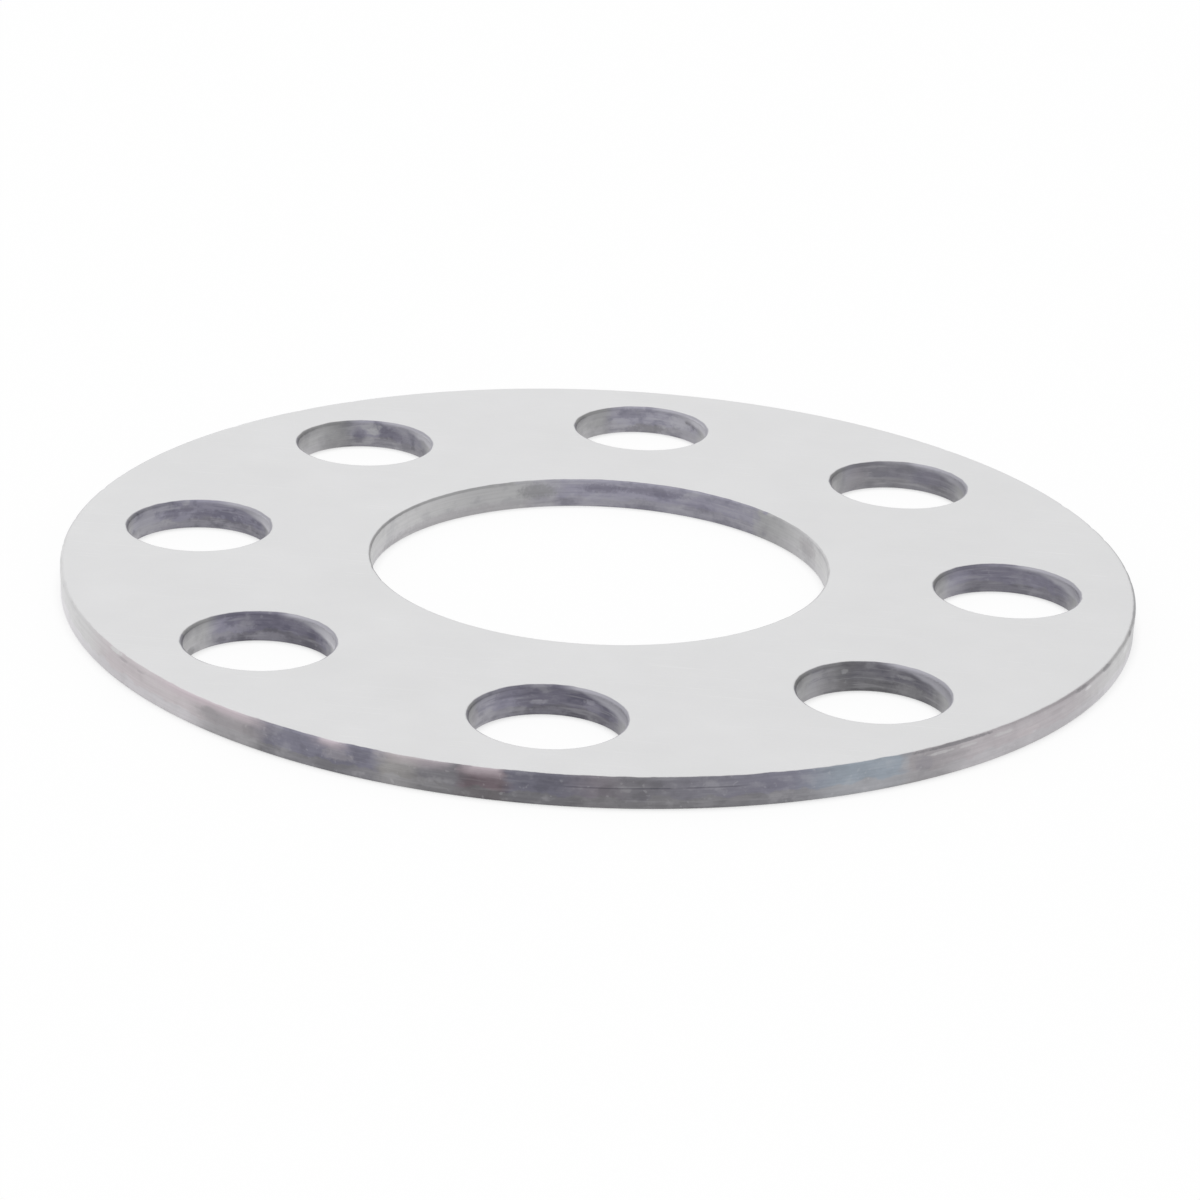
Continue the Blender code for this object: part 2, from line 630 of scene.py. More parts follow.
def film_streaks_group():
    """The unevenness of a heat film on a wall: soft clouds, level streaks and small light specks."""
    tree, given, put = new_group(
        "Film streaks",
        {
            "Colour": (0.2, 0.2, 0.2, 1.0),
            "Dark": (0.1, 0.1, 0.15, 1.0),
            "Light": (0.3, 0.3, 0.35, 1.0),
            "Clouds": 0.7,
            "Streaks": 0.5,
            "Specks": 0.3,
            "Fineness": 1.0,
            "Seed": 0.0,
        },
        {"Colour": COLOUR, "Height": NUMBER},
    )
    aside = signal_from(tree, "ShaderNodeCombineXYZ", 0, {"X": given["Seed"] * SEED_STEP})
    places = vector_maths("ADD", in_millimetres(tree), aside)
    broad = stretched(places, (0.42, 0.42, 0.60))
    cloud = noise_value(broad, given["Fineness"], detail=3.0, roughness=0.55)
    level = stretched(places, (0.22, 0.22, 2.2))
    streak = noise_value(level, given["Fineness"])
    speck = noise_value(places, 1.5, detail=1.0)
    thick = smooth_range(cloud, 0.48, 0.66) * given["Clouds"]
    thin = smooth_range(cloud, 0.46, 0.30) * given["Clouds"]
    dark_streak = smooth_range(streak, 0.47, 0.30) * given["Streaks"]
    light_streak = smooth_range(streak, 0.53, 0.70) * given["Streaks"]
    light_speck = smooth_range(speck, 0.66, 0.76) * given["Specks"]
    colour = mix_colours(larger(thick, dark_streak), given["Colour"], given["Dark"])
    light = larger(larger(thin, light_streak), light_speck)
    feed(put["Colour"], mix_colours(light, colour, given["Light"]))
    upright = stretched(places, (3.4, 3.4, 0.5))
    feed(put["Height"], noise_value(upright, 1.0, detail=3.0))
    return tree


# How far noise moves the ends of the film and its painted shade, the border of the worn edge and the foot
# of the brow
FILM_WANDER_DEGREES = 18.0
WORN_WANDER = 0.12
BROW_WANDER_MM = 0.7
BROW_SOFTNESS_DEGREES = 8.0


def wall_cover_group():
    """Where a film, partly painted shade, covers a wall: on the sides that face a span of angles, but not
    on worn edges.

    Facing goes from 0 on a wall left bare to 1 under the full film; on the bore and the stud holes
    the span faces the front, and the dark laid there is partly heat film and partly painted shade.
    Right is 1 where the wall faces the right and -1 where it faces the left. Up goes from 0 on the
    wall to 1 at the top of the rolled edge. Worn goes from 0 on the wall to 1 where that edge is
    rubbed bare; lean moves it down the edge on sides that face left, a painted highlight there. Brow
    is the thinner film on and just below the edge, on the sides that face between two angles, and
    partly a painted highlight. It comes lower by the brow drop on the sides that face left, where
    that painted highlight is.
    """
    tree, given, put = new_group(
        "Wall cover",
        {
            "Film from": 225.0,
            "Film to": 300.0,
            "Softness": 12.0,
            "End softness": 12.0,
            "Worn below": 0.9,
            "Worn above": 1.0,
            "Lean": 0.0,
            "Brow from": 0.0,
            "Brow to": 250.0,
            "Brow foot": 2.55,
            "Brow top": 2.95,
            "Brow drop": 0.0,
        },
        {"Facing": NUMBER, "Right": NUMBER, "Up": NUMBER, "Worn": NUMBER, "Brow": NUMBER},
    )
    normal = signal_from(tree, "ShaderNodeTexCoord", "Normal")
    x, _, up = split(normal)
    right = maths("COSINE", turn_round(normal))
    feed(put["Right"], right)
    feed(put["Up"], up)
    degrees = degrees_round(normal)
    places = in_millimetres(tree)
    wander = noise_value(places, 0.4, detail=3.0) - 0.5
    film = (given["Film from"], given["Film to"], given["Softness"], given["End softness"])
    feed(put["Facing"], between(degrees + wander * FILM_WANDER_DEGREES, *film))
    rubbed = (noise_value(places, 0.6) - 0.5) * WORN_WANDER
    # Painted highlight: on sides that face left, lean moves the bare line of the edge down.
    left = larger(x * -1.0, 0.0)
    upward = up + rubbed + left * given["Lean"]
    feed(put["Worn"], smooth_range(upward, given["Worn below"], given["Worn above"]))
    height = split(places)[2]
    # Painted highlight: the brow drop brings the brow lower on sides that face left.
    drop = smooth_range(right, -0.25, -1.0) * given["Brow drop"]
    raised = height + wander * BROW_WANDER_MM + drop
    band = smooth_range(raised, given["Brow foot"], given["Brow top"])
    sides = between(degrees, given["Brow from"], given["Brow to"], BROW_SOFTNESS_DEGREES)
    feed(put["Brow"], band * sides)
    return tree


# How far noise moves the hairline and the top of the torn band, and how softly that top ends
LINE_WANDER_MM = 0.3
TORN_WANDER_MM = 2.4
TORN_SOFTNESS_MM = 0.35


def cut_lines_group():
    """The marks that run level round a wall: a hairline, a fine grain and the torn lower band."""
    tree, given, put = new_group(
        "Cut lines",
        {"Line height": 2.45, "Line width": 0.12, "Torn height": 1.5},
        {"Line": NUMBER, "Fine": NUMBER, "Torn": NUMBER},
    )
    places = in_millimetres(tree)
    height = split(places)[2]
    wander = noise_value(places, 0.12, detail=1.0) - 0.5
    apart = maths("ABSOLUTE", height + wander * LINE_WANDER_MM - given["Line height"])
    line = smooth_range(apart, 0.0, given["Line width"], first=1.0, last=0.0)
    broken = smooth_range(noise_value(places, 0.25), 0.38, 0.48)
    feed(put["Line"], line * broken)
    level = stretched(places, (0.10, 0.10, 5.0))
    feed(put["Fine"], noise_value(level, 1.0))
    ragged = noise_value(places, 0.35, detail=3.0, roughness=0.6) - 0.5
    torn_from = height + ragged * TORN_WANDER_MM
    torn_to = given["Torn height"] - TORN_SOFTNESS_MM
    feed(put["Torn"], smooth_range(torn_from, given["Torn height"], torn_to))
    return tree


def hole_traits_group():
    """What sets the stud hole round a place apart from the others; nothing away from the holes."""
    totals = {name.replace("_", " ").capitalize(): 0.0 for name in HoleTrait._fields}
    tree, _, put = new_group("Hole traits", {}, dict.fromkeys(totals, NUMBER))
    flat = stretched(in_millimetres(tree), (1.0, 1.0, 0.0))
    outward = vector_maths("NORMALIZE", flat)
    from_axis = vector_maths("LENGTH", flat, output="Value")
    past_bore = smooth_range(from_axis, *PAST_BORE_MM)
    for index, trait in enumerate(HOLE_TRAITS):
        angle = 2.0 * math.pi * index / len(HOLE_TRAITS)
        near = along(outward, (math.cos(angle), math.sin(angle), 0.0))
        near = smooth_range(near, HOLE_REACH_OUTSIDE, HOLE_REACH_INSIDE) * past_bore
        for name, value in zip(totals, trait):
            if value:
                totals[name] = near * value + totals[name]
    for name, total in totals.items():
        feed(put[name], total)
    return tree


def make_groups():
    return {
        "satin": satin_steel_group(),
        "streaks": film_streaks_group(),
        "cover": wall_cover_group(),
        "lines": cut_lines_group(),
        "traits": hole_traits_group(),
    }


# The materials

# Tints round the rim, in degrees from the first stud hole. They blend from one to the next. The
# dark tints across the front, from about 240 to 300 degrees, are partly heat tint and partly
# painted shade, and the bright and pale ones at either end of that stretch are partly painted
# reflection.
RIM_TINTS = (
    (0.0, "pale"),
    (28.0, "bright"),
    (120.0, "navy"),
    (190.0, "steel"),
    (212.0, "bright"),
    (218.0, "blush"),
    (232.5, "blush"),
    (235.5, "dusk"),
    (241.7, "dusk"),
    (242.1, "navy"),
    (245.0, "slate"),
    (255.0, "slate"),
    (255.8, "olive"),
    (258.4, "olive"),
    (260.2, "graphite"),
    (263.6, "graphite"),
    (264.4, "rust"),
    (267.5, "rust"),
    (267.9, "navy"),
    (273.0, "navy"),
    (276.0, "mauve"),
    (279.5, "graphite"),
    (295.0, "slate"),
    (300.0, "teal"),
    (307.4, "teal"),
    (307.8, "dusk"),
    (311.5, "dusk"),
    (316.0, "rose"),
    (331.0, "rose"),
    (343.0, "bright"),
    (350.0, "bright"),
    (357.0, "pale"),
)

# Stretches of the rim where the tint is worn thin along the upper edge: from and to in the same
# degrees, the softness of their ends and how strongly
RIM_THIN_STRETCHES = (
    (228.5, 241.7, 3.0, 0.80),
    (248.6, 251.4, 1.2, 0.80),
    (255.5, 262.0, 1.5, 0.45),
    (263.8, 267.5, 0.8, 0.62),
)
RIM_THIN_COLOUR = (0.545, 0.480, 0.512, 1.0)
RIM_THIN_WEAR = 0.15

# How far the torn band takes the hue out of the rim's film
RIM_TORN = 0.75


class WallMark(typing.NamedTuple):
    """A small mark on a wall, with its tint and how strong it is.

    Its place is in degrees round the centre of that wall, from +X, and in mm up it. Its half sizes
    are in mm.
    """

    degrees: float
    height: float
    half_length: float
    half_height: float
    tint: str
    share: float


RIM_MARKS = (
    # Painted highlight: a bright streak along the top of the rim at its left end.
    WallMark(219.3, 3.50, 1.5, 0.20, "bright", 0.9),
    WallMark(221.0, 3.15, 1.1, 0.20, "dusk", 0.5),
    WallMark(224.5, 3.05, 0.8, 0.16, "dusk", 0.4),
    WallMark(235.4, 2.40, 1.3, 0.70, "dusk", 0.8),
    WallMark(251.0, 2.20, 2.0, 0.80, "dusk", 0.45),
    WallMark(290.0, 0.95, 1.3, 0.45, "mauve", 0.55),
    WallMark(309.4, 1.90, 1.2, 1.30, "slate", 0.22),
    # Painted shade: a dark line under the rolled edge on the right of the front.
    WallMark(313.5, 3.52, 5.5, 0.16, "graphite", 0.60),
    # Painted glints: bright flecks just below the rolled edge, here and at 315 and 320 degrees.
    WallMark(311.5, 2.95, 2.0, 0.18, "bright", 0.50),
    WallMark(315.0, 2.90, 1.5, 0.16, "bright", 0.45),
    WallMark(314.0, 2.20, 1.6, 0.40, "dusk", 0.35),
    WallMark(320.0, 2.95, 1.8, 0.22, "bright", 0.50),
    WallMark(324.0, 1.90, 2.2, 0.60, "blush", 0.55),
    WallMark(329.0, 2.60, 1.8, 0.35, "dusk", 0.25),
    # Painted shade: dark lines under the rolled edge at the right end, here and at 340.5 and 351 degrees.
    WallMark(334.0, 3.45, 1.6, 0.18, "graphite", 0.40),
    WallMark(335.5, 3.00, 0.9, 0.22, "steel", 0.50),
    WallMark(340.5, 3.45, 1.8, 0.20, "graphite", 0.40),
    WallMark(348.0, 2.70, 1.0, 0.30, "steel", 0.50),
    WallMark(351.0, 3.45, 1.2, 0.20, "graphite", 0.45),
)

BORE_MARKS = (
    WallMark(96.0, 2.60, 2.5, 0.60, "plum", 0.65),
    WallMark(82.0, 2.70, 4.4, 0.55, "plum", 0.60),
    WallMark(90.0, 1.10, 3.5, 0.60, "mist", 0.35),
    WallMark(113.0, 2.20, 2.6, 1.00, "dull", 0.80),
    WallMark(141.0, 0.45, 14.0, 0.75, "dusk", 0.45),
    WallMark(70.0, 1.60, 3.0, 0.45, "plum", 0.25),
    WallMark(27.0, 2.20, 2.6, 1.20, "dusk", 0.50),
    WallMark(54.0, 1.60, 2.6, 1.60, "mist", 0.35),
    WallMark(10.0, 0.80, 1.6, 0.60, "bright", 0.30),
)

# From the first stud hole on, anticlockwise seen from above
HOLE_MARKS = (
    (
        WallMark(132.0, 2.60, 1.6, 0.80, "lavender", 0.45),
        WallMark(152.0, 1.70, 1.2, 1.00, "pale", 0.30),
        WallMark(165.0, 1.60, 0.9, 0.80, "bright", 0.25),
        WallMark(62.0, 1.80, 1.8, 1.20, "lavender", 0.30),
        WallMark(60.0, 0.60, 1.8, 0.60, "lavender", 0.30),
    ),
    (
        WallMark(61.0, 1.80, 2.5, 1.30, "plum", 0.35),
        WallMark(95.0, 1.80, 1.8, 1.30, "plum", 0.20),
        WallMark(131.0, 1.60, 1.8, 1.50, "dusk", 0.45),
        WallMark(165.0, 1.70, 1.2, 1.00, "bright", 0.40),
        WallMark(24.0, 0.50, 1.2, 0.60, "dull", 0.35),
    ),
    (
        WallMark(57.0, 2.20, 2.1, 1.20, "mist", 0.80),
        WallMark(58.0, 2.30, 1.8, 0.90, "gleam", 0.20),
        WallMark(48.0, 2.70, 0.7, 0.35, "graphite", 0.70),
        WallMark(41.0, 2.40, 0.4, 0.40, "graphite", 0.60),
        WallMark(104.0, 2.75, 2.0, 0.70, "slate", 0.60),
        WallMark(88.0, 0.70, 2.6, 0.60, "graphite", 0.55),
        WallMark(133.0, 0.60, 1.2, 0.60, "pale", 0.30),
    ),
    (
        WallMark(73.0, 2.00, 1.7, 0.90, "plum", 0.60),
        WallMark(62.0, 2.60, 1.2, 0.60, "mist", 0.30),
        WallMark(60.0, 0.90, 0.9, 0.70, "plum", 0.40),
        WallMark(104.3, 1.60, 0.9, 1.00, "plum", 0.50),
        WallMark(95.0, 2.90, 1.4, 0.50, "pale", 0.50),
        WallMark(92.0, 2.20, 0.9, 0.50, "pale", 0.60),
        WallMark(96.0, 0.90, 0.8, 0.45, "pale", 0.20),
        WallMark(132.0, 0.60, 1.4, 0.70, "dull", 0.35),
        WallMark(163.0, 1.80, 0.9, 0.80, "dull", 0.20),
    ),
    (
        WallMark(150.0, 1.70, 1.9, 1.50, "mist", 0.60),
        WallMark(132.0, 3.00, 1.4, 0.50, "mist", 0.55),
        WallMark(164.0, 0.70, 1.0, 0.70, "pale", 0.40),
        WallMark(98.2, 1.75, 1.5, 0.65, "plum", 0.65),
        WallMark(112.2, 2.60, 1.0, 0.45, "plum", 0.60),
        WallMark(126.0, 2.00, 1.1, 0.60, "plum", 0.45),
        WallMark(60.0, 0.70, 1.6, 0.60, "plum", 0.30),
    ),
    (
        WallMark(117.0, 1.75, 1.7, 0.50, "mist", 0.40),
        WallMark(66.0, 1.60, 1.0, 1.00, "plum", 0.60),
        WallMark(128.0, 1.30, 1.7, 0.90, "lavender", 0.60),
        WallMark(131.0, 0.60, 0.6, 0.40, "plum", 0.50),
        WallMark(95.0, 0.60, 2.2, 0.60, "lavender", 0.45),
        WallMark(164.0, 2.50, 0.9, 0.80, "bright", 0.30),
        WallMark(166.0, 0.50, 1.0, 0.60, "dull", 0.60),
    ),
    (
        WallMark(130.0, 1.60, 1.6, 0.90, "lavender", 0.50),
        WallMark(132.0, 2.90, 1.2, 0.50, "plum", 0.40),
        WallMark(104.0, 1.60, 1.0, 0.30, "mist", 0.45),
        WallMark(95.0, 0.50, 2.2, 0.50, "lavender", 0.30),
        WallMark(61.0, 1.80, 1.4, 0.80, "lavender", 0.35),
        WallMark(64.5, 2.30, 0.7, 0.30, "mist", 0.45),
        WallMark(164.0, 1.80, 0.9, 0.80, "dusk", 0.45),
    ),
    (
        WallMark(114.5, 2.60, 0.4, 0.30, "pale", 0.35),
        WallMark(66.5, 2.40, 1.2, 0.25, "pale", 0.28),
        WallMark(62.0, 0.80, 2.2, 0.80, "dull", 0.55),
        WallMark(95.0, 1.70, 1.6, 0.70, "dull", 0.30),
        WallMark(164.0, 2.80, 1.0, 0.60, "dull", 0.35),
    ),
)

# How far beyond its wall a mark fades out, so that it stays off the other walls
MARK_REACH = (0.8, 1.2)

# The one stretch of the rim where the tool left hairlines
RIM_LINE_STRETCH = (273.5, 290.0)

# The film is thinner towards the back left of the plate, so the walls are paler there.
THIN_FILM_WAY = (-0.40, 0.92, 0.0)
THIN_FILM_FROM = -32.0
THIN_FILM_TO = 50.0


class HoleTrait(typing.NamedTuple):
    """What sets one stud hole apart.

    End shift is how much further round the film, partly painted shade, reaches, in degrees. Grey is
    how far it turns from violet to neutral, clouds how blotchy it is, and thin how much thinner it is.
    Brow drop is how much lower the pale brow, partly a painted highlight, comes on the side that faces
    left, in millimetres. Each hole has its own seed for its clouds and streaks.
    """

    end_shift: float
    grey: float
    clouds: float
    thin: float
    brow_drop: float
    seed: float


# From the first stud hole on, anticlockwise seen from above
HOLE_TRAITS = (
    HoleTrait(0.0, 0.10, 0.40, 0.20, -0.10, 5.0),
    HoleTrait(0.0, 0.60, 0.45, 0.00, -0.35, 0.0),
    HoleTrait(-20.0, 0.10, 0.75, 0.55, -0.25, 5.0),
    HoleTrait(-36.0, 0.35, 0.95, 0.10, -0.30, 4.0),
    HoleTrait(26.0, 0.10, 0.95, 0.10, 0.00, 5.0),
    HoleTrait(-8.0, 0.00, 0.65, 0.00, 0.40, 7.0),
    HoleTrait(18.0, 0.10, 0.65, 0.05, 0.15, 0.0),
    HoleTrait(0.0, 0.80, 0.45, 0.00, -0.05, 4.0),
)

# Radii between which the traits of the stud holes set in, in millimetres
PAST_BORE_MM = (34.0, 36.0)

# Cosines of the angle from a stud hole's centre, outside and inside its own part of the plate
HOLE_REACH_OUTSIDE = 0.88
HOLE_REACH_INSIDE = 0.93

# Painted light: the bare walls are paler towards the left of the plate.
PALE_BARE_WAY = (-0.92, 0.38, 0.0)
PALE_BARE_FROM = -25.0
PALE_BARE_TO = 20.0


class WallLook(typing.NamedTuple):
    """How one kind of pierced wall wears and carries its film. Angles are in degrees.

    Bare low and bare high are shares from the dull to the bright bare wall. They hold where the
    wall faces sideways by no more than bare from, and where it faces fully sideways, so that the
    bare wall is paler where it faces sideways: painted reflection. Left low and left high take
    their place towards the left of the plate, where painted light makes it paler still.

    The film lies between two angles, each with its own softness; where it faces the front it is
    partly heat film and partly painted shade. Thinness lightens all of it, and the sideways
    reflection lightens it where it faces sideways, as painted reflection. Grey takes out its hue,
    clouds make it blotchy, torn is how far the torn band takes the hue out too, and fineness is the
    grain of it all.

    Lean and fold shade are for the rolled edge: how far its bare line leans down on sides that face
    left, a painted highlight, and how much painted shade darkens its fold on sides that face right.
    The brow is the paler band by the edge, partly thinner film and partly painted highlight: its
    colour, where it ends, its foot and span in millimetres, how much lower it comes on sides that
    face left, how strong it is and how much painted gleam it has there.
    """

    name: str
    bare_from: float
    bare_low: float
    bare_high: float
    left_low: float
    left_high: float
    film_from: float
    film_to: float
    film_softness: float
    film_end_softness: float
    film_thinness: float
    film_fading: float
    grey: float
    clouds: float
    torn: float
    fineness: float
    seed: float
    lean: float
    lip: float
    brow: str
    brow_to: float
    brow_foot: float
    brow_span: float
    brow_drop: float
    brow_share: float
    brow_gleam: float


# A span of angles that takes in every side, with its soft ends
ALL_ROUND = (-100.0, 500.0)

# In both looks the film on the side that faces the front is partly painted shade, and the paler sides, the
# brow and the gleam are partly painted light.
BORE_LOOK = WallLook(
    name="bore_wall",
    bare_from=0.60,
    bare_low=0.12,
    bare_high=1.0,
    left_low=0.50,
    left_high=1.00,
    film_from=230.0,
    film_to=292.0,
    film_softness=2.5,
    film_end_softness=8.0,
    film_thinness=0.34,
    film_fading=0.0,
    grey=0.10,
    clouds=0.70,
    torn=0.35,
    fineness=0.8,
    seed=3.0,
    lean=-0.05,
    lip=0.22,
    brow="pale",
    brow_to=ALL_ROUND[1],
    brow_foot=2.7,
    brow_span=0.35,
    brow_drop=0.0,
    brow_share=0.06,
    brow_gleam=0.0,
)

STUD_HOLE_LOOK = WallLook(
    name="stud_hole_wall",
    bare_from=0.45,
    bare_low=0.08,
    bare_high=0.48,
    left_low=0.08,
    left_high=0.76,
    film_from=212.0,
    film_to=328.0,
    film_softness=12.0,
    film_end_softness=10.0,
    film_thinness=0.0,
    film_fading=1.7,
    grey=0.0,
    clouds=0.0,
    torn=0.45,
    fineness=1.0,
    seed=0.0,
    lean=0.0,
    lip=0.30,
    brow="mist",
    brow_to=262.0,
    brow_foot=2.98,
    brow_span=0.60,
    brow_drop=1.1,
    brow_share=0.95,
    brow_gleam=1.0,
)


def new_metal(name):
    """A material with a plain metal shader, and the tree and shader to finish it with."""
    material = bpy.data.materials.new(name)
    material.use_nodes = True
    tree = material.node_tree
    shader = tree.nodes["Principled BSDF"]
    shader.inputs["Metallic"].default_value = 1.0
    return material, tree, shader


def add_relief(shader, height, strength, distance):
    inputs = {"Height": height, "Strength": strength, "Distance": distance}
    feed(shader.inputs["Normal"], signal_from(height.tree, "ShaderNodeBump", 0, inputs))


# Steel of the faces and of worn edges
STEEL_GRAIN = 0.05
STEEL_ROUGHNESS = 0.40
FACE_MOTTLE = 0.12
FACE_SCRATCHES = 0.05
WORN_MOTTLE = 0.07

# How much rougher a wall is than the faces, and how much more its torn band is
WALL_ROUGHENING = 0.10
TORN_ROUGHENING = 0.05

# Tints that are left in the torn band and in a grey film once their hue is taken out
TORN_TINT = (1.13, 1.11, 1.15)
GREY_FILM_TINT = (1.0, 0.99, 1.04)

# Shades that are laid over a colour for its dark clouds, a hairline and a dark fold
FILM_CLOUD = (0.62, 0.62, 0.66, 1.0)
BARE_CLOUD = (0.80, 0.80, 0.82, 1.0)
HAIRLINE = (0.62, 0.62, 0.65, 1.0)
BLACK = (0.0, 0.0, 0.0, 1.0)


def shaded(colour, shade, share=1.0):
    """A colour with a shade laid over it."""
    return mix_colours(share, colour, shade, blend="MULTIPLY")


def satin_steel(tree, groups, finish, mottle, scratches):
    return use_group(
        tree,
        groups["satin"],
        steel=rgba(finish.steel),
        mottle=mottle,
        grain=STEEL_GRAIN,
        scratches=scratches,
        mean_roughness=STEEL_ROUGHNESS,
    )


def satin_face_material(finish, groups):
    """The ground faces."""
    material, tree, shader = new_metal("satin_steel_face")
    satin = satin_steel(tree, groups, finish, FACE_MOTTLE, FACE_SCRATCHES)
    feed(shader.inputs["Base Color"], satin["Colour"])
    feed(shader.inputs["Roughness"], satin["Roughness"])
    add_relief(shader, satin["Height"], 0.25, 0.02 * MM)
    return material


def finish_wall(shader, groups, finish, wall, cover, streaks, lines, torn):
    """Greys the torn band, wears the rolled edge bare and gives the wall its relief."""
    satin = satin_steel(wall.tree, groups, finish, WORN_MOTTLE, 0.0)
    wall = mix_colours(lines["Torn"] * torn, wall, greyed(wall, TORN_TINT))
    wall = scaled(wall, smooth_range(lines["Fine"], 0.35, 0.65, first=0.97, last=1.03))
    colour = mix_colours(cover["Worn"], wall, satin["Colour"])
    feed(shader.inputs["Base Color"], colour)
    rough = satin["Roughness"] + lines["Torn"] * TORN_ROUGHENING + WALL_ROUGHENING
    feed(shader.inputs["Roughness"], rough)
    add_relief(shader, streaks["Height"] + lines["Fine"] * 0.5, 0.5, 0.03 * MM)


def film_colour(look, finish, places, cover, traits):
    """The film on a pierced wall: plum where it is thick, to lavender and paler where it is thin, and paler
    still, as painted reflection, where the wall faces sideways.
    """
    thin = smooth_range(along(places, THIN_FILM_WAY), THIN_FILM_FROM, THIN_FILM_TO) * 0.85
    thin = thin + look.film_thinness + traits["Thin"]
    # Painted reflection: the film is lightened where the wall faces left or right.
    left = smooth_range(cover["Right"], -0.50, -0.95, last=look.film_fading * 0.4)
    right = smooth_range(cover["Right"], 0.25, 1.0, last=look.film_fading)
    thin = larger(thin, larger(left, right))
    film = mix_colours(thin, rgba(finish.plum), rgba(finish.lavender))
    faintest = maths("MULTIPLY", thin - 1.0, 0.45, clamp=True)
    film = mix_colours(faintest, film, rgba(finish.gleam))
    grey = traits["Grey"] + look.grey
    drift = smooth_range(noise_value(places, 0.12, detail=1.0), 0.40, 0.60, last=0.5)
    return mix_colours(drift * grey + grey * 0.75, film, greyed(film, GREY_FILM_TINT))


def add_brow(look, finish, wall, cover, spread):
    """Lays the paler brow along the edge, partly thin film and partly painted highlight, with a painted
    gleam on sides that face left, and paints shade into the fold of the edge on the other side.
    """
    brow = rgba(getattr(finish, look.brow))
    # Painted highlight: a gleam below the rolled edge on sides that face left, stronger towards the left of
    # the plate.
    if look.brow_gleam:
        gleam = smooth_range(cover["Up"], 0.75, 0.25, last=look.brow_gleam)
        gleam = gleam * smooth_range(cover["Right"], -0.45, -0.95)
        brow = mix_colours(gleam * (spread * 0.80 + 0.20), brow, rgba(finish.gleam))
    wall = mix_colours(cover["Brow"] * look.brow_share, wall, brow)
    # Painted shade: the fold of the rolled edge is darkened on sides that face right.
    fold = smooth_range(cover["Up"], 0.02, 0.35) * look.lip
    return shaded(wall, BLACK, fold * smooth_range(cover["Right"], 0.20, 0.70))


def pierced_wall_material(look, finish, groups, radius, marked_centres):
    """A wall of the bore or a stud hole, with the film on the side that faces the front, partly painted
    shade there, and its bare sides paler as painted light.
    """
    material, tree, shader = new_metal(look.name)
    places = in_millimetres(tree)
    traits = use_group(tree, groups["traits"])
    cover = use_group(
        tree,
        groups["cover"],
        film_from=look.film_from,
        film_to=traits["End shift"] + look.film_to,
        softness=look.film_softness,
        end_softness=look.film_end_softness,
        lean=look.lean,
        brow_from=ALL_ROUND[0],
        brow_to=look.brow_to,
        brow_foot=look.brow_foot,
        brow_top=look.brow_foot + look.brow_span,
        brow_drop=traits["Brow drop"] + look.brow_drop,
    )
    seed = traits["Seed"] + look.seed
    film = film_colour(look, finish, places, cover, traits)
    streaks = use_group(
        tree,
        groups["streaks"],
        colour=film,
        dark=shaded(film, FILM_CLOUD),
        light=mix_colours(0.40, film, rgba(finish.pale)),
        clouds=traits["Clouds"] + look.clouds,
        streaks=0.55,
        specks=0.35,
        fineness=look.fineness,
        seed=seed,
    )
    # Painted reflection and painted light: the bare wall is paler where it faces sideways and towards the
    # left of the plate.
    spread = smooth_range(along(places, PALE_BARE_WAY), PALE_BARE_FROM, PALE_BARE_TO)
    low = smooth_range(spread, 0.0, 1.0, first=look.bare_low, last=look.left_low)
    high = smooth_range(spread, 0.0, 1.0, first=look.bare_high, last=look.left_high)
    side = maths("ABSOLUTE", cover["Right"])
    outward = smooth_range(side, look.bare_from, 1.0, first=low, last=high)
    bare_colour = mix_colours(outward, rgba(finish.dull), rgba(finish.bright))
    bare = use_group(
        tree,
        groups["streaks"],
        colour=bare_colour,
        dark=shaded(bare_colour, BARE_CLOUD),
        light=mix_colours(0.5, bare_colour, rgba(finish.pale)),
        clouds=0.6,
        streaks=0.25,
        specks=0.4,
        fineness=look.fineness,
        seed=seed,
    )
    lines = use_group(tree, groups["lines"])
    # The film, partly painted shade, goes on the side that faces the front.
    wall = mix_colours(cover["Facing"], bare["Colour"], streaks["Colour"])
    for centre, marks in marked_centres:
        wall = add_marks(wall, finish, centre, radius, marks, grain=2.2, softness=0.8)
    wall = add_brow(look, finish, wall, cover, spread)
    finish_wall(shader, groups, finish, wall, cover, streaks, lines, look.torn)
    return material


def rim_tint(finish, degrees):
    """The film's colour round the rim, as a run of tints."""
    inputs = {"Fac": degrees * (1.0 / 360.0)}
    ramp = place_node(degrees.tree, "ShaderNodeValToRGB", inputs)
    stops = ramp.color_ramp.elements
    stops.remove(stops[1])
    for index, (place, tint) in enumerate(RIM_TINTS):
        stop = stops.new(place / 360.0) if index else stops[0]
        stop.color = rgba(getattr(finish, tint))
    return Signal(degrees.tree, ramp.outputs["Color"])


